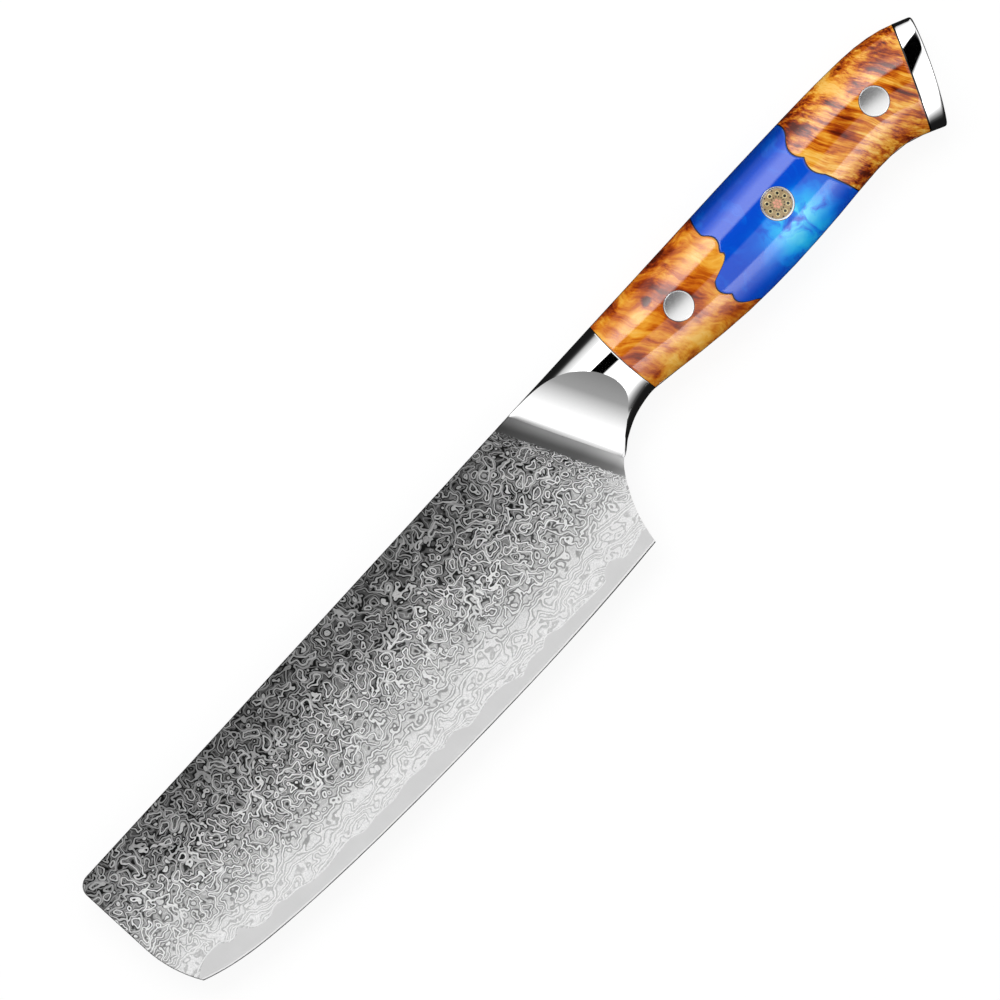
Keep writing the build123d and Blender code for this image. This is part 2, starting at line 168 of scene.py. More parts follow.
def body_rows():
    rows = []
    places = [
        (edge_length + (neck_station - edge_length) * way,
         heel_depth - (heel_depth - neck_depth) * rise)
        for way, rise in choil_shares
    ]
    cheek_station, cheek_depth = places[0]
    rows.append((ramp_station - body_lead, 0, cheek_depth, cheek_widest, cheek_thickness / 2,
                 1, cheek_keel_power))
    for station, depth in places:
        way = (station - cheek_station) / (neck_station - cheek_station)
        widest = cheek_widest + (neck_widest - cheek_widest) * way
        thickness = cheek_thickness + (neck_thickness - cheek_thickness) * way
        keel = cheek_keel_power + (neck_keel_power - cheek_keel_power) * way
        rows.append((station, 0, depth, widest, thickness / 2, 1, keel))
    for way, top_share, bottom_share, thickness_share in grip_shares:
        top, bottom = grip_height * top_share, grip_height * bottom_share
        half = grip_thickness / 2 * thickness_share
        rows.append((neck_station + grip_length * way, top, bottom, (top + bottom) / 2, half,
                     grip_power, grip_power))
    return rows


ROWS = body_rows()


def row_slope(i, k):
    before, after = ROWS[max(i - 1, 0)], ROWS[min(i + 1, len(ROWS) - 1)]
    return (after[k] - before[k]) / (after[0] - before[0])


SLOPES = [[row_slope(i, k) for k in range(7)] for i in range(len(ROWS))]


def section(station):
    """Top, bottom, widest, half width and powers of the body there, on a fair curve."""
    i = 0
    while i < len(ROWS) - 2 and station > ROWS[i + 1][0]:
        i += 1
    run = ROWS[i + 1][0] - ROWS[i][0]
    t = (station - ROWS[i][0]) / run
    a, b = 2 * t**3 - 3 * t**2 + 1, 3 * t**2 - 2 * t**3
    c, d = run * (t**3 - 2 * t**2 + t), run * (t**3 - t**2)
    return [
        ROWS[i][k] * a + ROWS[i + 1][k] * b + SLOPES[i][k] * c + SLOPES[i + 1][k] * d
        for k in range(1, 7)
    ]


def body_point(station, turn):
    """Depth and height of the body at a station, where turn runs from 1 at the top to -1."""
    top, bottom, widest, half, upper, lower = section(station)
    end, power = (top, upper) if turn > 0 else (bottom, lower)
    angle = abs(turn) * math.pi / 2
    return widest + (end - widest) * math.sin(angle), half * max(math.cos(angle), 0) ** power


def body_height(station, depth):
    """Height of the body over a point of the side view."""
    top, bottom, widest, half, upper, lower = section(station)
    end, power = (top, upper) if depth < widest else (bottom, lower)
    share = min(abs((depth - widest) / (end - widest)), 1)
    return half * math.sqrt(1 - share * share) ** power


def turn_at_height(station, height, sign):
    """The turn at which the upper (1) or lower (-1) half of the section has that height."""
    *_, half, upper, lower = section(station)
    power = upper if sign > 0 else lower
    return sign * math.acos((height / half) ** (1 / power)) / (math.pi / 2)


def line_station(points, depth):
    """Station of a joint at a depth: a parabola through each three of its points."""
    i = 0
    while i < len(points) - 3 and depth > points[i + 2][1]:
        i += 2
    total = 0
    for a in range(3):
        weight = 1
        for b in range(3):
            if a != b:
                weight *= (depth - points[i + b][1]) / (points[i + a][1] - points[i + b][1])
        total += weight * points[i + a][0]
    return total


def seam_station(depth):
    """Station of the shallow arc where the bolster meets the grip."""
    centre = neck_station + seam_radius - seam_rise
    return centre - math.sqrt(seam_radius**2 - (depth - neck_depth / 2) ** 2)


def cap_line_station(depth):
    """Station of the leaning line where the wood and the cap meet."""
    return cap_station - depth * math.tan(cap_lean)


# Meshes

def make_piece(name, verts, faces, slot, nodes, materials, joint_faces=(), sharp_degrees=28.0):
    """A piece of the knife that stands for CAD nodes, welded and shaded smooth."""
    mesh = bpy.data.meshes.new(name)
    mesh.from_pydata([tuple(v) for v in verts], [], faces)
    for material in materials:
        mesh.materials.append(material)
    for i in joint_faces:
        mesh.polygons[i].material_index = 1
    bm = bmesh.new()
    bm.from_mesh(mesh)
    bmesh.ops.remove_doubles(bm, verts=bm.verts, dist=weld_distance)
    bmesh.ops.recalc_face_normals(bm, faces=bm.faces)
    bm.to_mesh(mesh)
    bm.free()
    mesh.shade_smooth()
    mesh.set_sharp_from_angle(angle=math.radians(sharp_degrees))
    piece = bpy.data.objects.new(name, mesh)
    bpy.context.scene.collection.objects.link(piece)
    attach(piece, "root")
    if nodes:
        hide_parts(*nodes)


def grid_faces(rows, columns, start=0, flip=False):
    """Quads of a grid of points listed row by row."""
    faces = []
    for r in range(rows - 1):
        for c in range(columns - 1):
            a = start + r * columns + c
            quad = (a, a + 1, a + columns + 1, a + columns)
            faces.append(quad[::-1] if flip else quad)
    return faces


def mirrored(verts, faces):
    """The same mesh on the other side of the blade's middle plane."""
    flipped = [Vector((v.x, v.y, 2 * middle_z - v.z)) for v in verts]
    return flipped, [face[::-1] for face in faces]


def joined(parts):
    """One mesh of several."""
    verts, faces = [], []
    for part_verts, part_faces in parts:
        start = len(verts)
        verts += part_verts
        faces += [tuple(start + i for i in face) for face in part_faces]
    return verts, faces


def solve_station(turn, line, guess):
    """Station at which the body's line of constant turn crosses a joint."""
    station = guess
    for _ in range(joint_rounds):
        station = line(body_point(station, turn)[0])
    return station


def block_mesh(front_line, rear_line, front_guess, rear_guess):
    """Left scale between two joints: crowned outside, flat against the tang."""
    floor = tang_thickness / 2
    columns = max(8, round((rear_guess - front_guess) / column_step))
    shares = [0, None] + [c / columns for c in range(1, columns)] + [None, 1]
    outer, inner = [], []
    for r in range(side_rows + 1):
        way = 1 - 2 * r / side_rows
        for c, share in enumerate(shares):
            # the turn that has the tang's height differs a little along the block
            station = front_guess + (rear_guess - front_guess) * c / (len(shares) - 1)
            for _ in range(block_rounds):
                limit = turn_at_height(station, floor, 1 if way > 0 else -1)
                turn = abs(way) * limit if way else 0
                start = solve_station(turn, front_line, front_guess)
                end = solve_station(turn, rear_line, rear_guess)
                if share is None:
                    station = start + groove_width if c == 1 else end - groove_width
                else:
                    station = start + (end - start) * share
            depth, height = body_point(station, turn)
            if share in (0, 1):
                height = max(height - groove_depth, floor)
            outer.append(place(station, depth, height))
            inner.append(place(station, depth, floor))
    width = len(shares)
    rows = side_rows + 1
    faces = grid_faces(rows, width) + grid_faces(rows, width, len(outer), flip=True)
    joints = [r * (width - 1) + c for r in range(side_rows) for c in (0, width - 2)]
    for r in range(side_rows):
        for c in (0, width - 1):
            a, b = r * width + c, (r + 1) * width + c
            joints.append(len(faces))
            faces.append((a, b, b + len(outer), a + len(outer)))
    return outer + inner, faces, joints


def ramp_height(station, depth):
    """Height of the scooped ramp, and of the plane it springs from."""
    behind = (station - ramp_station) * math.cos(ramp_lean) - depth * math.sin(ramp_lean)
    drop_along = (spine_thickness - front_spine_thickness) / 2 * (1 - station / edge_length)
    drop_down = (spine_thickness - edge_thickness) / 2 * depth / blade_width
    face = spine_thickness / 2 - drop_along - drop_down
    behind = min(max(behind, 0), ramp_radius)
    return face + ramp_radius - math.sqrt(ramp_radius**2 - behind**2)


def ramp_line_station(depth):
    """Station of the leaning line where blade and bolster meet."""
    return ramp_station + depth * math.tan(ramp_lean)


def cheek_station(turn):
    """Station where the scoop cuts the body's line of constant turn."""
    low = solve_station(turn, ramp_line_station, ramp_station)
    high = neck_station
    depth, height = body_point(low, turn)
    if height <= ramp_height(low, depth):
        return low
    for _ in range(cheek_rounds):
        station = (low + high) / 2
        depth, height = body_point(station, turn)
        if height > ramp_height(station, depth):
            low = station
        else:
            high = station
    return (low + high) / 2


def bolster_mesh():
    """Left half: the body behind the cheek line, the scoop before it, and closed ends."""
    rows, columns, ramp_columns = 97, 30, 26
    outer, ramp = [], []
    for r in range(rows):
        turn = 1 - 2 * r / (rows - 1)
        start = cheek_station(turn)
        end = solve_station(turn, seam_station, neck_station)
        for c in range(columns + 2):
            share = min(c, columns) / columns
            station = start + (end - groove_width - start) * share
            if c == columns + 1:
                station = end
            depth, height = body_point(station, turn)
            if c == columns + 1:
                height = max(height - groove_depth, 0)
            outer.append(place(station, depth, height))
        depth, height = body_point(start, turn)
        behind = (start - ramp_station) * math.cos(ramp_lean) - depth * math.sin(ramp_lean)
        for c in range(ramp_columns + 1):
            back = behind * (1 - c / ramp_columns)
            station = start - back * math.cos(ramp_lean)
            lower = depth + back * math.sin(ramp_lean)
            ramp.append(place(station, lower, min(height, ramp_height(station, lower))))
    faces = grid_faces(rows, columns + 2)
    faces += grid_faces(rows, ramp_columns + 1, len(outer), flip=True)
    left = (outer + ramp, faces)
    verts, faces = joined([left, mirrored(*left)])
    half = len(left[0])
    for r in range(rows - 1):
        for first, width, column in ((0, columns + 2, columns + 1), (len(outer), ramp_columns + 1, 0)):
            a = first + r * width + column
            b = a + width
            faces.append((a, b, b + half, a + half))
    return verts, faces


def crown_station(depth):
    """Station of the crowned end of the cap at a depth."""
    back = Vector((math.cos(cap_lean), math.sin(cap_lean)))
    down = Vector((-math.sin(cap_lean), math.cos(cap_lean)))
    centre = Vector((cap_station, 0)) + back * (cap_thickness - cap_crown_radius) + down * cap_crown_depth
    return centre.x + math.sqrt(cap_crown_radius**2 - (depth - centre.y) ** 2)


def cap_mesh():
    """End cap: a short length of the body, a soft rim and a crowned end."""
    rows, walls, rim, rings = 128, 10, 7, 14
    centre = place(crown_station(cap_centre_depth), cap_centre_depth)
    verts, columns = [], 1 + walls + rim + rings
    for r in range(rows):
        angle = 4 * r / rows - 1
        side = 1 if angle <= 1 else -1
        turn = angle if angle <= 1 else 2 - angle
        start = solve_station(turn, cap_line_station, cap_station)
        end = solve_station(turn, crown_station, overall_length)
        depth, height = body_point(start, turn)
        low = place(start, depth, side * max(height - groove_depth, 0))
        verts.append(low)
        depth, height = body_point(start + groove_width, turn)
        first = place(start + groove_width, depth, side * height)
        depth, height = body_point(end, turn)
        corner = place(end, depth, side * height)
        wall = first - corner
        inward = centre - corner
        rim_start = corner + wall.normalized() * min(cap_rim_radius, wall.length * 0.6)
        rim_end = corner + inward.normalized() * cap_rim_radius
        for c in range(walls):
            verts.append(first.lerp(rim_start, c / walls))
        for c in range(rim):
            t = c / rim
            verts.append(rim_start * (1 - t) ** 2 + corner * 2 * t * (1 - t) + rim_end * t**2)
        for c in range(rings):
            spot = rim_end.lerp(centre, c / rings)
            depth = spine_y - spot.y
            bulge = place(crown_station(depth), depth).x - spot.x
            verts.append(spot + Vector((bulge * min(1, c / 3), 0, 0)))
    faces = []
    for r in range(rows):
        for c in range(columns - 1):
            a = r * columns + c
            b = ((r + 1) % rows) * columns + c
            faces.append((a, a + 1, b + 1, b))
        last = r * columns + columns - 1
        faces.append((last, len(verts), ((r + 1) % rows) * columns + columns - 1))
    faces.append(tuple(r * columns for r in range(rows))[::-1])
    verts.append(centre)
    return verts, faces


def flush_disc(spot, radius, lift, bore=0.0, dome=0.0, sides=72, rings=2, sink=disc_sink):
    """Closed disc or ring whose top follows the body's surface at a point of the side view."""
    station, depth = spot
    soft = min(disc_edge, (radius - bore) * 0.2)
    radii = [bore + (radius - soft - bore) * i / rings for i in range(rings + 1)]
    drops = [0.0] * len(radii)
    for angle in (30, 60, 90):
        turn = math.radians(angle)
        radii.append(radius - soft + soft * math.sin(turn))
        drops.append(soft * (1 - math.cos(turn)))
    radii.append(radius)
    drops.append(sink)
    radii.append(bore)
    drops.append(sink)
    verts = []
    for r, drop in zip(radii, drops):
        for s in range(sides):
            angle = 2 * math.pi * s / sides
            x, y = station + r * math.cos(angle), depth + r * math.sin(angle)
            height = body_height(x, y) + lift + dome * (1 - (r / radius) ** 2) - drop
            verts.append(place(x, y, height))
    faces = []
    for i in range(len(radii)):
        j = (i + 1) % len(radii)
        for s in range(sides):
            t = (s + 1) % sides
            faces.append((i * sides + s, i * sides + t, j * sides + t, j * sides + s))
    return verts, faces


def around(spot, radius, count, half_step=False):
    """Points evenly round a circle of the side view."""
    turn = math.pi / count if half_step else 0
    return [
        (spot[0] + radius * math.cos(turn + 2 * math.pi * i / count),
         spot[1] + radius * math.sin(turn + 2 * math.pi * i / count))
        for i in range(count)
    ]


def small_discs(spots, radius, lift, bore=0.0, sides=24):
    return [flush_disc(spot, radius, lift, bore, sides=sides, sink=small_disc_sink) for spot in spots]


def both_sides(parts):
    """One mesh of several, with their mirror images."""
    mesh = joined(parts)
    return joined([mesh, mirrored(*mesh)])


# Materials

def linear(hex_colour):
    """Linear colour of an sRGB hex code."""
    out = []
    for i in (0, 2, 4):
        v = int(hex_colour[i:i + 2], 16) / 255
        out.append(v / 12.92 if v <= 0.04045 else ((v + 0.055) / 1.055) ** 2.4)
    return (*out, 1.0)


class Tree:
    """Short calls for building nodes."""

    def __init__(self, tree):
        self.nodes, self.links = tree.nodes, tree.links

    def put(self, socket, value):
        if isinstance(value, bpy.types.NodeSocket):
            self.links.new(value, socket)
        else:
            socket.default_value = value

    def math(self, operation, a, b=0.0):
        node = self.nodes.new("ShaderNodeMath")
        node.operation = operation
        self.put(node.inputs[0], a)
        self.put(node.inputs[1], b)
        return node.outputs[0]

    def add(self, a, b):
        return self.math("ADD", a, b)

    def subtract(self, a, b):
        return self.math("SUBTRACT", a, b)

    def times(self, a, b):
        return self.math("MULTIPLY", a, b)

    def divide(self, a, b):
        return self.math("DIVIDE", a, b)

    def length(self, x, y):
        return self.math("SQRT", self.add(self.times(x, x), self.times(y, y)))

    def vector(self, operation, a, b=(0, 0, 0)):
        node = self.nodes.new("ShaderNodeVectorMath")
        node.operation = operation
        self.put(node.inputs[0], a)
        self.put(node.inputs["Scale" if operation == "SCALE" else 1], b)
        return node.outputs["Vector"]

    def split(self, vector):
        node = self.nodes.new("ShaderNodeSeparateXYZ")
        self.links.new(vector, node.inputs[0])
        return node.outputs

    def noise(self, vector, scale, detail, roughness, distortion=0.0, colour=False):
        node = self.nodes.new("ShaderNodeTexNoise")
        self.put(node.inputs["Vector"], vector)
        node.inputs["Scale"].default_value = scale
        node.inputs["Detail"].default_value = detail
        node.inputs["Roughness"].default_value = roughness
        node.inputs["Distortion"].default_value = distortion
        return node.outputs["Color" if colour else "Fac"]

    def ramp(self, factor, stops):
        node = self.nodes.new("ShaderNodeValToRGB")
        elements = node.color_ramp.elements
        while len(elements) > 1:
            elements.remove(elements[-1])
        elements[0].position = stops[0][0]
        elements[0].color = stops[0][1]
        for position, colour in stops[1:]:
            elements.new(position).color = colour
        self.put(node.inputs["Fac"], factor)
        return node.outputs["Color"]

    def greys(self, factor, *stops):
        return self.ramp(factor, [(position, grey(value)) for position, value in stops])

    def curve(self, value, points):
        """A curve through points, each from 0 to 1 both ways."""
        node = self.nodes.new("ShaderNodeFloatCurve")
        line = node.mapping.curves[0]
        line.points[0].location, line.points[1].location = points[0], points[-1]
        for point in points[1:-1]:
            line.points.new(*point)
        node.mapping.update()
        self.put(node.inputs["Value"], value)
        return node.outputs[0]

    def signed(self, colour):
        """A noise colour as a vector about zero."""
        return self.vector("SUBTRACT", colour, (0.5, 0.5, 0.5))

    def mix_value(self, factor, a, b):
        """Number from a to b."""
        node = self.nodes.new("ShaderNodeMix")
        for socket, value in zip(node.inputs[:1] + node.inputs[2:4], (factor, a, b)):
            self.put(socket, value)
        return node.outputs[0]

    def remap(self, value, low, high, to_low=0.0, to_high=1.0, smooth=True):
        node = self.nodes.new("ShaderNodeMapRange")
        node.interpolation_type = "SMOOTHSTEP" if smooth else "LINEAR"
        for socket, v in zip(node.inputs, (value, low, high, to_low, to_high)):
            self.put(socket, v)
        return node.outputs["Result"]

    def mix(self, factor, a, b):
        """Colour from a to b."""
        node = self.nodes.new("ShaderNodeMix")
        node.data_type = "RGBA"
        self.put(node.inputs["Factor"], factor)
        sockets = [s for s in node.inputs if s.type == "RGBA"]
        self.put(sockets[0], a)
        self.put(sockets[1], b)
        return [s for s in node.outputs if s.type == "RGBA"][0]

    def blend(self, factor, a, b):
        """Shader from a to b."""
        node = self.nodes.new("ShaderNodeMixShader")
        for socket, value in zip(node.inputs, (factor, a, b)):
            self.put(socket, value)
        return node.outputs[0]


class Graph(Tree):
    """Nodes of one material, with the place in millimetres."""

    def __init__(self, name):
        self.material = bpy.data.materials.new(name)
        self.material.use_nodes = True
        super().__init__(self.material.node_tree)
        self.shader = self.nodes["Principled BSDF"]
        coords = self.nodes.new("ShaderNodeTexCoord")
        self.place = self.vector("SCALE", coords.outputs["Object"], 1 / mm)

    def bump(self, height, distance, strength):
        node = self.nodes.new("ShaderNodeBump")
        node.inputs["Distance"].default_value = distance
        node.inputs["Strength"].default_value = strength
        self.put(node.inputs["Height"], height)
        self.links.new(node.outputs[0], self.shader.inputs["Normal"])
        return node

    def set(self, **values):
        for name, value in values.items():
            self.put(self.shader.inputs[name.replace("_", " ")], value)


def grey(value):
    return (value, value, value, 1.0)


def row_place(g, spot=None):
    """Station and depth of a place, in millimetres, as sockets."""
    x, y, _ = g.split(spot or g.place)
    return g.add(x, -front_x / mm), g.subtract(spine_y / mm, y)


def behind_ramp_line(g, station, depth):
    """Distance behind the line where blade and bolster meet."""
    run = g.subtract(station, ramp_station / mm)
    return g.subtract(g.times(run, math.cos(ramp_lean)), g.times(depth, math.sin(ramp_lean)))


def behind_cap_line(g):
    """Distance behind the line where the wood and the cap meet."""
    station, depth = row_place(g)
    line = g.subtract(cap_station / mm, g.times(depth, math.tan(cap_lean)))
    return g.times(g.subtract(station, line), math.cos(cap_lean))


def above_line(g, station, depth, shares):
    """Distance above a line given as shares of the edge's length and the blade's width."""
    line = g.curve(g.divide(station, edge_length / mm), shares)
    return g.subtract(g.times(line, blade_width / mm), depth)


def layer_stack(g, spot):
    """Height of the lumpy stack of steel layers at a place: round lumps, and long waves low down."""
    _, depth = row_place(g, spot)
    low = g.remap(depth, 28.0, 42.0)
    warp = g.vector("SCALE", g.signed(g.noise(spot, 0.30, 1.0, 0.5, colour=True)), 2.9)
    lumps = g.noise(g.vector("ADD", spot, warp), 0.265, 1.0, 0.5)
    long_spot = g.vector("MULTIPLY", g.vector("ADD", spot, g.vector("SCALE", warp, 0.6)), (0.5, 0.9, 0.4))
    waves = g.noise(long_spot, 0.30, 1.0, 0.5)
    slope = g.math("POWER", g.remap(depth, 24.0, 50.0, 0.0, 1.0, smooth=False), 1.4)
    # numbers of layers that the lumps, the long waves and the grind cut through
    in_lumps, in_waves, in_slope = 7.5, 6.0, 11.0
    stack = g.mix_value(low, g.times(lumps, in_lumps), g.times(waves, in_waves))
    return g.add(stack, g.times(slope, in_slope))


def damascus_material():
    """Etched layered steel: contour lines of a stack of layers, light with dark hairlines."""
    g = Graph("damascus_steel")
    station, depth = row_place(g)
    behind = behind_ramp_line(g, station, depth)
    # the layers are squeezed together towards the bolster
    near = g.math("MAXIMUM", g.add(behind, 11.0), 0.0)
    squeeze = g.times(g.times(near, near), 0.11)
    toward = g.vector("SCALE", (math.cos(ramp_lean), math.sin(ramp_lean), 0.0), squeeze)
    spot = g.vector("ADD", g.place, toward)
    stack = layer_stack(g, spot)
    step = 0.05
    steep = g.length(*(
        g.divide(g.subtract(layer_stack(g, g.vector("ADD", spot, offset)), stack), step)
        for offset in ((step, 0, 0), (0, step, 0))
    ))
    # distance from the nearest contour line is the height over it, divided by the steepness
    phase = g.math("ABSOLUTE", g.subtract(g.math("FRACT", stack), 0.5))
    patches = g.remap(g.noise(spot, 0.17, 1.5, 0.5), 0.54, 0.70, 1.0, 1.6)
    away = g.divide(phase, g.times(g.math("MAXIMUM", steep, 0.6), patches))
    between = g.divide(g.subtract(0.5, phase), g.math("MAXIMUM", steep, 0.4))
    faint = g.remap(g.math("FRACT", g.times(stack, 0.5)), 0.499, 0.501, 1.0, 0.62)
    to_light = g.times(g.greys(away, (0.0, 1), (0.14, 1), (0.20, 0)), faint)
    thin = g.greys(between, (0.0, 0.36), (0.07, 0.32), (0.15, 0))
    to_light = g.math("MAXIMUM", to_light, thin)
    to_dark = g.greys(away, (0.14, 0), (0.19, 1), (0.36, 1), (0.49, 0))

    # a light line and a dark hairline follow the rim of the cladding
    above = above_line(g, station, depth, core_line_shares)
    rim_light = g.greys(above, (0.10, 0), (0.18, 1), (0.42, 1), (0.52, 0))
    rim_dark = g.greys(above, (0.0, 1), (0.12, 1), (0.16, 0), (0.50, 0), (0.58, 0.8), (0.72, 0))
    to_light = g.math("MAXIMUM", to_light, rim_light)
    to_dark = g.math("MAXIMUM", to_dark, rim_dark)

    # painted shade and light: the steel is coloured darkest under the spine and lightest at the edge, and a
    # little lighter towards the front
    mottle = g.remap(g.noise(g.place, 0.05, 2, 0.5), 0.35, 0.65, -2.5, 2.5)
    front = g.remap(station, 8.0, 60.0, 5.0, 0.0)
    painted_shading = g.divide(g.add(g.add(depth, mottle), front), 50.0)
    ground = g.greys(painted_shading, (0.0, 0.06), (0.2, 0.088), (0.4, 0.24), (0.6, 0.53), (0.78, 0.84), (1.0, 0.91))
    dark = g.greys(painted_shading, (0.0, 0.005), (0.3, 0.010), (0.5, 0.055), (0.66, 0.23), (0.80, 0.55), (1.0, 0.68))
    light = g.greys(painted_shading, (0.0, 0.33), (0.2, 0.56), (0.45, 0.95), (0.7, 0.98), (1.0, 0.98))
    grain = g.remap(g.noise(g.place, 2.6, 2, 0.6), 0.3, 0.7, 0.86, 1.12)
    colour = g.mix(to_dark, ground, dark)
    colour = g.mix(to_light, colour, light)
    colour = g.vector("SCALE", colour, grain)

    # polished, unpatterned band before the bolster, with painted shade darker under the spine and a painted
    # highlight growing towards the bolster
    down = g.divide(depth, 34.0)
    band_painted_light_and_shade = g.greys(down, (0.0, 0.07), (0.2, 0.10), (0.6, 0.13), (0.85, 0.22), (1.0, 0.40))
    band_painted_light_and_shade = g.vector("SCALE", band_painted_light_and_shade, g.remap(behind, -3.4, -0.2, 0.85, 2.6))
    ragged = g.add(behind, g.times(g.math("FRACT", stack), 0.7))
    colour = g.mix(g.remap(ragged, -4.6, -4.2), colour, band_painted_light_and_shade)
    g.set(Base_Color=colour, Metallic=1.0, Roughness=g.remap(to_light, 0, 1, 0.36, 0.30))
    g.bump(to_light, 0.008 * mm, 0.2)
    return g.material


def core_material():
    """Flat-ground hard steel along the edge, with fine lines of the grind."""
    g = Graph("core_steel")
    scratches = g.noise(g.vector("MULTIPLY", g.place, (9.0, 0.35, 1.0)), 1.0, 3, 0.6)
    clouds = g.noise(g.place, 0.12, 2, 0.5)
    tone = g.add(g.times(scratches, 0.05), g.times(clouds, 0.08))
    colour = g.greys(tone, (0.0, 0.70), (0.13, 0.86))
    # a painted highlight along the cutting bevel, and painted shade as a dark line at its thin rim
    above = above_line(g, *row_place(g), edge_shares)
    bevel_painted_light = g.greys(above, (0.0, 0.04), (0.22, 0.08), (0.32, 1.0), (0.62, 1.0))
    colour = g.mix(g.remap(above, 0.60, 0.72), bevel_painted_light, colour)
    g.set(Base_Color=colour, Metallic=1.0, Roughness=0.30)
    g.bump(scratches, 0.004 * mm, 0.2)
    return g.material


def polished_material(name, base, roughness, wave, face=None, seam=None):
    """Buffed steel with a faint haze of fine wheel marks. Face bends its reflections, and
    seam gives the distance from a joint whose groove is dark."""
    g = Graph(name)
    haze = g.noise(g.vector("MULTIPLY", g.place, (1.0, 6.0, 1.0)), 1.6, 3, 0.6)
    colour = g.greys(haze, (0.3, base * 0.96), (0.7, base))
    if seam:
        groove = groove_width / mm
        colour = g.mix(g.remap(seam(g), groove, groove + 0.1), grey(0.01), colour)
    rough = g.remap(haze, 0.3, 0.7, roughness, roughness * 1.2)
    g.set(Base_Color=colour, Metallic=1.0, Roughness=rough)
    bump = g.bump(haze, wave * mm, 0.05)
    if face:
        geometry = g.nodes.new("ShaderNodeNewGeometry")
        x, y, z = g.split(geometry.outputs["Normal"])
        join = g.nodes.new("ShaderNodeCombineXYZ")
        for socket, value in zip(join.inputs, (*face(g, x, y), z)):
            g.put(socket, value)
        g.links.new(g.vector("NORMALIZE", join.outputs[0]), bump.inputs["Normal"])
    return g.material


def rivet_face(g, x, y):
    """A rivet is ground flatter across the knife than the scale round it."""
    return x, g.subtract(g.times(y, 0.45), 0.03)


def cap_face(g, x, y):
    """The cap is buffed flatter than its outline and rolls off towards its rim."""
    roll = g.subtract(-0.045, g.times(behind_cap_line(g), 0.026))
    eased = g.add(g.math("MINIMUM", g.times(y, 0.68), y), roll)
    level = g.mix_value(g.remap(g.math("ABSOLUTE", x), 0.4, 0.7), g.times(x, 0.15), x)
    return level, g.mix_value(g.remap(y, 0.70, 0.88), eased, y)


clear_gloss = {"Coat_Roughness": 0.02, "Coat_IOR": 1.5, "Specular_IOR_Level": 0.05}


def wood_material(name, streak_direction, bend_reach, ripple, scale, stretch, contrast, level, seed, stains):
    """Stabilised burl: amber figure drawn out along its streaks, stained darker or brighter
    in places, under a clear gloss. Stains are (station, depth, reach, strength, colour), and
    the ones of negative strength are brighter."""
    g = Graph(name)
    station, depth = row_place(g)
    shifted = g.vector("ADD", g.place, (seed, seed * 1.7, 0.0))
    bend = g.vector("SCALE", g.signed(g.noise(shifted, 0.085, 1.5, 0.5, colour=True)), bend_reach * 2)
    fine_bend = g.vector("SCALE", g.signed(g.noise(shifted, 0.45, 1.5, 0.5, colour=True)), ripple)
    warped = g.vector("ADD", g.vector("ADD", shifted, bend), fine_bend)
    rotate = g.nodes.new("ShaderNodeVectorRotate")
    rotate.rotation_type = "Z_AXIS"
    rotate.inputs["Angle"].default_value = -math.radians(streak_direction)
    g.links.new(warped, rotate.inputs["Vector"])
    drawn_out = g.vector("MULTIPLY", rotate.outputs[0], (stretch, 1.0, 0.6))
    figure = g.noise(drawn_out, scale, 2.5, 0.55)
    fibre = g.noise(g.vector("MULTIPLY", drawn_out, (0.6, 1.0, 1.0)), scale * 4.2, 3, 0.65)
    clouds = g.noise(shifted, 0.13, 2, 0.5)
    tone = g.add(g.times(figure, 0.56), g.times(fibre, 0.32))
    tone = g.add(tone, g.times(clouds, 0.24))
    tone = g.add(g.times(g.subtract(tone, 0.545), contrast), level)

    spots = g.noise(shifted, 0.5, 2, 0.5)
    pulls = [stain_pull(g, station, depth, *stain[:3], spots) for stain in stains]
    for pull, (_, _, _, strength, _) in zip(pulls, stains):
        tone = g.subtract(tone, g.times(pull, strength * 0.26))
    colour = g.ramp(tone, [
        (0.36, linear("4A1202")), (0.43, linear("8A2C04")), (0.48, linear("B04A06")),
        (0.53, linear("CC660C")), (0.59, linear("E48C20")), (0.66, linear("F6B03C")),
        (0.76, linear("FFCE6C")),
    ])
    for pull, (_, _, _, strength, hex_colour) in zip(pulls, stains):
        colour = g.mix(g.times(pull, abs(strength) * 0.55), colour, linear(hex_colour))
    rough = g.remap(figure, 0.3, 0.7, 0.42, 0.30)
    g.set(Base_Color=colour, Roughness=rough, Coat_Weight=1.0, **clear_gloss)
    g.bump(fibre, 0.006 * mm, 0.12)
    return g.material


def stain_pull(g, station, depth, at_station, at_depth, reach, spots):
    """How far a stain holds at each place: 1 at its middle and 0 past its ragged rim."""
    away = g.length(g.subtract(station, at_station), g.subtract(depth, at_depth))
    ragged = g.add(g.divide(away, reach), g.times(g.subtract(spots, 0.5), 0.9))
    return g.remap(ragged, 0.15, 1.05, 1.0, 0.0)


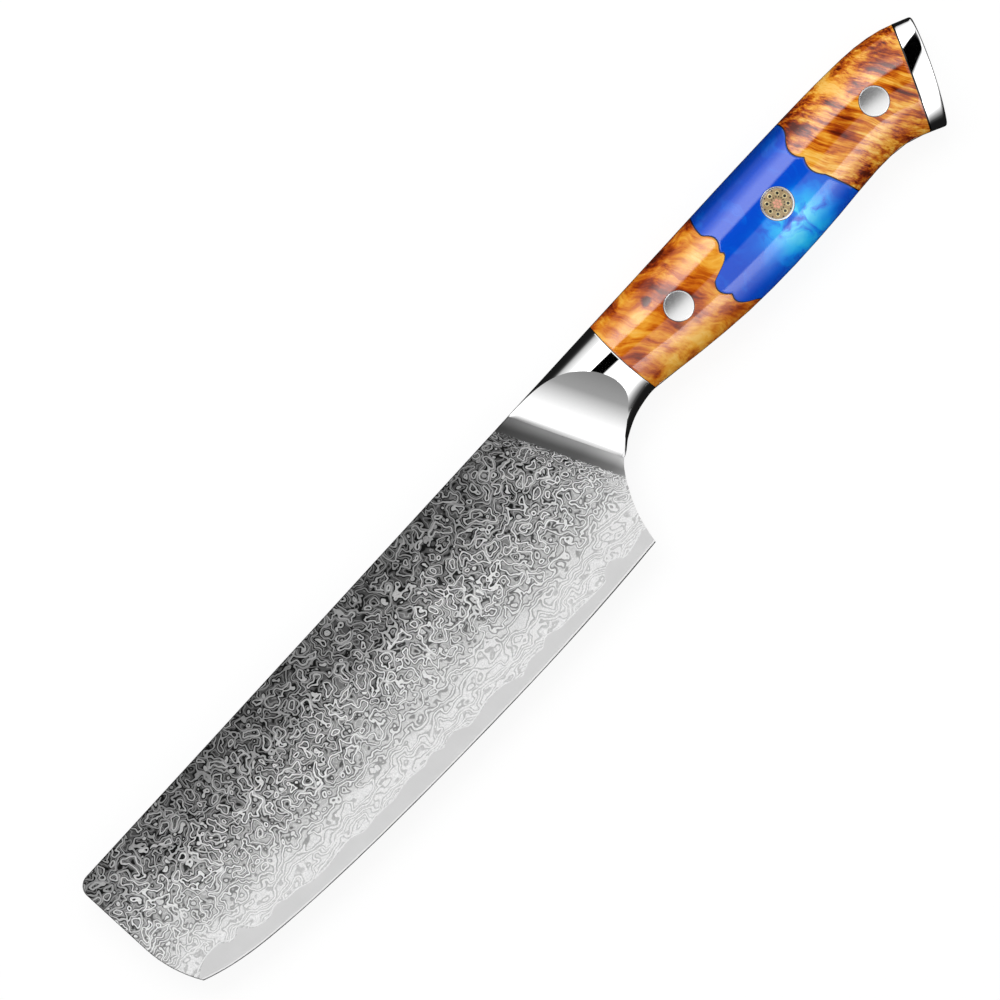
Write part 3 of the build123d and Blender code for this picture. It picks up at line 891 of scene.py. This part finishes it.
def resin_material():
    """Deep blue resin with a pearly cloud and painted shade darker under the spine, polished."""
    g = Graph("blue_resin")
    bend = g.vector("SCALE", g.signed(g.noise(g.place, 0.11, 2.5, 0.55, colour=True)), 9.0)
    warped = g.vector("ADD", g.place, bend)
    silk = g.noise(g.vector("MULTIPLY", warped, (1.0, 0.6, 0.8)), 0.16, 4, 0.6, 0.8)
    station, depth = row_place(g, warped)
    away = g.length(g.divide(g.subtract(station, 252.5), 11.0), g.divide(g.subtract(depth, 21.5), 6.0))
    cloud = g.times(g.remap(away, 0.1, 1.8, 1.0, 0.0), g.remap(silk, 0.22, 0.54))
    wisps = g.times(g.remap(silk, 0.48, 0.72), 0.25)
    colour = g.ramp(g.math("MAXIMUM", cloud, wisps), [
        (0.0, linear("004CD0")), (0.2, linear("0062DE")), (0.45, linear("088CF6")),
        (0.75, linear("20BCFF")), (1.0, linear("60E4FF")),
    ])
    _, straight_depth = row_place(g)
    # painted shade: the blue darkens towards the spine
    colour = g.vector("SCALE", colour, g.remap(straight_depth, 0.5, 5.5, 0.5, 1.0))
    rough = g.remap(silk, 0.3, 0.7, 0.30, 0.20)
    g.set(Base_Color=colour, Roughness=rough, Coat_Weight=0.75, **clear_gloss)
    return g.material


def shaded(colour, share):
    """A colour with that share of its light."""
    return (*(c * share for c in colour[:3]), 1.0)


def metal_material(name, colour, roughness):
    """Brass or copper, polished flush with a fine grain."""
    g = Graph(name)
    grain = g.noise(g.place, 6.0, 3, 0.6)
    rough = g.remap(grain, 0.3, 0.7, roughness, roughness * 1.6)
    g.set(Base_Color=g.ramp(grain, [(0.3, shaded(colour, 0.8)), (0.7, colour)]))
    g.set(Metallic=1.0, Roughness=rough)
    g.bump(grain, 0.004 * mm, 0.3)
    return g.material


def epoxy_material(name, colour):
    """Cast epoxy or glue with a fine grain."""
    g = Graph(name)
    grain = g.noise(g.place, 5.0, 3, 0.6)
    g.set(Base_Color=g.ramp(grain, [(0.35, shaded(colour, 0.6)), (0.65, colour)]))
    g.set(Roughness=0.3, Coat_Weight=0.5, Coat_Roughness=0.05)
    return g.material


# Build the pieces

front_line = [grip_point(share) for share in front_joint_shares]
rear_line = [grip_point(share) for share in rear_joint_shares]


def front_joint(depth):
    return line_station(front_line, depth)


def rear_joint(depth):
    return line_station(rear_line, depth)


damascus = damascus_material()
core_steel = core_material()
polished = polished_material("polished_steel", 0.96, 0.03, 0.002)
tang_steel = polished_material("tang_steel", 0.75, 0.16, 0.004)
cap_steel = polished_material("cap_steel", 0.96, 0.03, 0.002, cap_face, behind_cap_line)
rivet_steel = polished_material("rivet_steel", 0.74, 0.21, 0.002, rivet_face)
front_wood = wood_material("front_burl", 118, 5.0, 0.5, 0.24, 0.24, 1.0, 0.547, 7.0, [
    (216.5, 13.5, 8.0, 0.40, "A84410"), (211.0, 6.4, 1.7, 0.90, "3A2420"),
    (212.0, 6.0, 5.0, 0.30, "8E3C10"), (222.0, -1.0, 6.0, 0.60, "6E2204"),
    (234.0, -1.0, 5.0, 0.45, "7A2C08"), (203.0, -1.0, 5.0, 0.45, "762A08"),
    (213.0, 22.0, 6.5, -0.50, "FFB838"), (204.0, 24.0, 5.0, -0.45, "FFC048"),
    (203.5, 9.0, 5.0, -0.35, "F0A030"), (226.0, 7.0, 4.5, -0.35, "F0A838"),
    (225.0, 24.0, 5.0, 0.20, "B05A10"), (200.0, 14.0, 4.0, 0.20, "A84C0C"),
])
rear_wood = wood_material("rear_burl", -66, 1.3, 0.25, 0.55, 0.09, 1.45, 0.535, 41.0, [
    (279.0, 13.0, 6.0, 0.45, "7A1E02"), (296.0, 19.0, 4.0, 0.40, "6A1C04"),
    (298.5, 9.5, 6.0, 0.40, "8A2E04"), (270.0, 3.0, 7.0, 0.55, "6A2204"),
    (284.0, 2.5, 5.0, -0.40, "F6A830"), (299.0, 4.0, 5.0, 0.20, "A04A08"),
    (272.0, 19.5, 5.0, -0.40, "FFA82C"), (284.0, 7.0, 3.5, -0.45, "FFB030"),
    (273.0, 26.0, 4.0, 0.55, "7A2604"), (296.0, 26.0, 5.0, 0.35, "9A4208"),
])
resin = resin_material()
joint_line = epoxy_material("joint_line", linear("1A0C08"))
resin_line = epoxy_material("resin_line", linear("04103C"))
brass = metal_material("pin_brass", linear("E0CFA0"), 0.30)
copper = metal_material("pin_copper", linear("E8A890"), 0.30)
pin_epoxy = epoxy_material("pin_epoxy", linear("B79C72"))
dark_epoxy = epoxy_material("dark_epoxy", linear("150E08"))

# joints in front and behind, stations near them, and looks
front_guess, rear_guess = front_line[4][0], rear_line[4][0]
cap_guess = cap_station - 10 * mm
blocks = {
    "front_wood": (seam_station, front_joint, neck_station, front_guess, "burl_wood", front_wood, joint_line),
    "resin": (front_joint, rear_joint, front_guess, rear_guess, "blue_resin", resin, resin_line),
    "rear_wood": (rear_joint, cap_line_station, rear_guess, cap_guess, "burl_wood", rear_wood, joint_line),
}
for name, (start, end, start_guess, end_guess, slot, material, line_material) in blocks.items():
    verts, faces, joints = block_mesh(start, end, start_guess, end_guess)
    for side, mesh in (("left", (verts, faces)), ("right", mirrored(verts, faces))):
        make_piece(f"{name}_{side}_show", *mesh, slot, [f"{name}_{side}"], [material, line_material], joints)

make_piece("bolster_show", *bolster_mesh(), "polished_steel", ["bolster"], [polished])
make_piece("end_cap_show", *cap_mesh(), "polished_steel", ["end_cap"], [cap_steel], sharp_degrees=18)

rivet_spots = {"front": grip_point(front_rivet_share), "rear": grip_point(rear_rivet_share)}
for end, spot in rivet_spots.items():
    head = flush_disc(spot, rivet_diameter / 2, rivet_lift, dome=rivet_dome, rings=12)
    for mesh, half in ((head, "socket"), (mirrored(*head), "stud")):
        make_piece(f"{end}_rivet_{half}_show", *mesh, "rivet_steel", [f"{end}_rivet_{half}"], [rivet_steel])

pin_spot = grip_point(mosaic_pin_share)
# dark rings in the glue's colour round the rivets and the pin: painted shade in the crease at their rims
lines = [
    flush_disc(spot, radius + rim_shade_outward, rim_shade_lift, radius - rim_shade_inward)
    for spot, radius in (
        (rivet_spots["front"], rivet_diameter / 2), (rivet_spots["rear"], rivet_diameter / 2),
        (pin_spot, pin_diameter / 2),
    )
]
make_piece("pin_rim_shade_rings_show", *both_sides(lines), "dark_epoxy", [], [joint_line])

ring_spots = around(pin_spot, ring_circle_radius, ring_tube_count)
rod_spots = [pin_spot] + around(pin_spot, centre_rod_diameter, centre_rod_count)
field_radius = pin_diameter / 2 - pin_wall
pin_pieces = {
    "mosaic_tube": (
        [flush_disc(pin_spot, pin_diameter / 2, tube_lift, field_radius)], "rivet_steel", rivet_steel),
    "mosaic_filler": (
        [flush_disc(pin_spot, field_radius + overlap, filler_lift, rings=12)], "pin_epoxy", pin_epoxy),
    "mosaic_ring_tubes": (
        small_discs(ring_spots, ring_tube_diameter / 2, rod_lift, ring_tube_bore / 2 - overlap),
        "pin_brass", brass),
    "mosaic_ring_cores": (
        small_discs(ring_spots, ring_tube_bore / 2, core_lift), "dark_epoxy", dark_epoxy),
    "mosaic_centre_rods": (
        small_discs(rod_spots, (centre_rod_diameter - rod_gap) / 2, rod_lift), "pin_copper", copper),
}
for name, (parts, slot, material) in pin_pieces.items():
    make_piece(f"{name}_show", *both_sides(parts), slot, [name], [material])
dots = small_discs(ring_spots, ring_tube_diameter / 2 + tube_collar, collar_lift)
for circle_radius, rod_radius, count in filler_circles:
    dots += small_discs(around(pin_spot, circle_radius, count, True), rod_radius, dot_lift, sides=12)
make_piece("mosaic_filler_rods_show", *both_sides(dots), "dark_epoxy", [], [dark_epoxy])

for node, material in (
    ("blade_cladding_left", damascus), ("blade_cladding_right", damascus),
    ("blade_core", core_steel), ("tang", tang_steel),
):
    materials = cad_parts[node].data.materials
    materials.clear()
    materials.append(material)


# Camera: a long lens straight above, turned so that the knife lies as in the photograph

view_width = 258.93 * mm
view_centre = place(147.76 * mm, 13.13 * mm)
view_turn = math.radians(47.5)
camera_distance = 2.5
sensor_width = 36

camera_data = bpy.data.cameras.new("camera")
camera = bpy.data.objects.new("camera", camera_data)
bpy.context.scene.collection.objects.link(camera)
camera_data.type = "PERSP"
camera_data.sensor_width = sensor_width
camera_data.lens = sensor_width * camera_distance / view_width
camera_data.clip_start, camera_data.clip_end = 0.01, 20
camera.location = view_centre + Vector((0, 0, camera_distance))
camera.rotation_euler = (0, 0, -view_turn)
bpy.context.scene.camera = camera


# Studio: two strip lights and dark cards that only glossy surfaces see, plain light for the
# rest, a white floor and a soft lamp

floor_level = -0.2 * mm
flag_level = -0.1 * mm
floor_reach = 4.0
flag_reach = 0.30


def studio_sheet(name, reach_x, reach_y, level):
    """Level rectangle about the knife."""
    mesh = bpy.data.meshes.new(name)
    corners = [(-reach_x, -reach_y), (reach_x, -reach_y), (reach_x, reach_y), (-reach_x, reach_y)]
    mesh.from_pydata([(x, y, level) for x, y in corners], [], [(0, 1, 2, 3)])
    sheet = bpy.data.objects.new(name, mesh)
    bpy.context.scene.collection.objects.link(sheet)
    return sheet


def studio_world():
    world = bpy.data.worlds.new("studio")
    bpy.context.scene.world = world
    world.use_nodes = True
    t = Tree(world.node_tree)
    t.nodes.clear()

    def by_angle(angle, *stops):
        """Brightness by an angle in degrees, from -180 to 180."""
        share = t.add(t.divide(angle, 2 * math.pi), 0.5)
        return t.greys(share, *(((degrees + 180) / 360, value) for degrees, value in stops))

    def background(colour, strength):
        node = t.nodes.new("ShaderNodeBackground")
        t.put(node.inputs["Color"], colour)
        t.put(node.inputs["Strength"], strength)
        return node.outputs[0]

    x, y, z = t.split(t.nodes.new("ShaderNodeTexCoord").outputs["Generated"])
    # across the knife, from the edge's side (-) to the spine's: a strip light, a dim gap, a dark
    # card overhead and a second strip light
    across = by_angle(
        t.math("ARCTAN2", y, z), (-180, 0.0), (-100, 0.0), (-88, 0.01), (-77, 0.06), (-68, 0.14),
        (-52, 0.38), (-42, 0.85), (-31, 1.0), (-28.5, 0.225), (-4, 0.225), (-1.5, 0.0), (20, 0.0),
        (23.5, 1.0), (38, 0.95), (48, 0.5), (60, 0.17), (78, 0.10), (89, 0.01), (100, 0.0), (180, 0.0))
    # along the knife: dim and even, seen by the faces that lean that way
    along = by_angle(
        t.math("ARCTAN2", x, z), (-180, 0.002), (-100, 0.005), (-80, 0.04), (-50, 0.06), (-22, 0.19),
        (20, 0.19), (80, 0.15), (180, 0.002))
    lean = t.remap(t.math("ABSOLUTE", x), 0.12, 0.26)
    glossy = background(t.mix(lean, across, along), 6.0)
    # plain light, a little stronger from above than from the sides
    plain = background(grey(0.8), t.add(t.times(t.math("MAXIMUM", z, 0.0), 0.75), 0.30))
    white = background(grey(1.0), 1.0)
    path = t.nodes.new("ShaderNodeLightPath").outputs
    clear = t.math("MAXIMUM", path["Is Camera Ray"], path["Is Transmission Ray"])
    output = t.nodes.new("ShaderNodeOutputWorld")
    t.put(output.inputs["Surface"], t.blend(clear, t.blend(path["Is Glossy Ray"], plain, glossy), white))


def studio_floor():
    """White table under the knife, mostly lit by itself where the camera or a gloss sees it."""
    floor = studio_sheet("floor", floor_reach, floor_reach, floor_level)
    material = bpy.data.materials.new("floor")
    material.use_nodes = True
    t = Tree(material.node_tree)
    t.nodes.clear()
    diffuse = t.nodes.new("ShaderNodeBsdfDiffuse")
    diffuse.inputs["Color"].default_value = grey(0.80)
    glow = t.nodes.new("ShaderNodeEmission")
    glow.inputs["Strength"].default_value = 1.05
    path = t.nodes.new("ShaderNodeLightPath").outputs
    seen = t.math("MAXIMUM", path["Is Glossy Ray"], path["Is Transmission Ray"])
    share = t.times(t.math("MAXIMUM", path["Is Camera Ray"], seen), 0.86)
    output = t.nodes.new("ShaderNodeOutputMaterial")
    t.put(output.inputs["Surface"], t.blend(share, diffuse.outputs[0], glow.outputs[0]))
    floor.data.materials.append(material)


def studio_flag():
    """Dark card under the knife that only its mirror surfaces see, for their dark rims."""
    flag = studio_sheet("black_flag", flag_reach, floor_reach, flag_level)
    flag.visible_camera = False
    flag.visible_diffuse = False
    flag.visible_shadow = False
    flag.visible_transmission = False
    g = Graph("black_flag")
    _, across, _ = g.split(g.place)
    share = g.remap(across, -floor_reach / mm, floor_reach / mm, smooth=False)
    glow = g.greys(share, (0.0, 0.06), (0.45, 0.05), (0.493, 0.01), (0.507, 0.01), (0.55, 0.05), (1.0, 0.06))
    g.set(Base_Color=grey(0.0), Specular_IOR_Level=0.0, Emission_Color=glow, Emission_Strength=1.0)
    flag.data.materials.append(g.material)


def studio_lamp():
    """Soft lamp beyond the spine, for the shadow. Glossy surfaces do not see it."""
    data = bpy.data.lights.new("softbox", "AREA")
    data.shape = "RECTANGLE"
    data.size, data.size_y = 0.9, 0.5
    data.energy = 5.0
    lamp = bpy.data.objects.new("softbox", data)
    bpy.context.scene.collection.objects.link(lamp)
    lamp.location = (0.15, 0.55, 0.9)
    lamp.rotation_euler = (-lamp.location).to_track_quat("-Z", "Y").to_euler()
    lamp.visible_glossy = False


studio_world()
studio_floor()
studio_flag()
studio_lamp()
bpy.context.scene.view_settings.view_transform = "Standard"
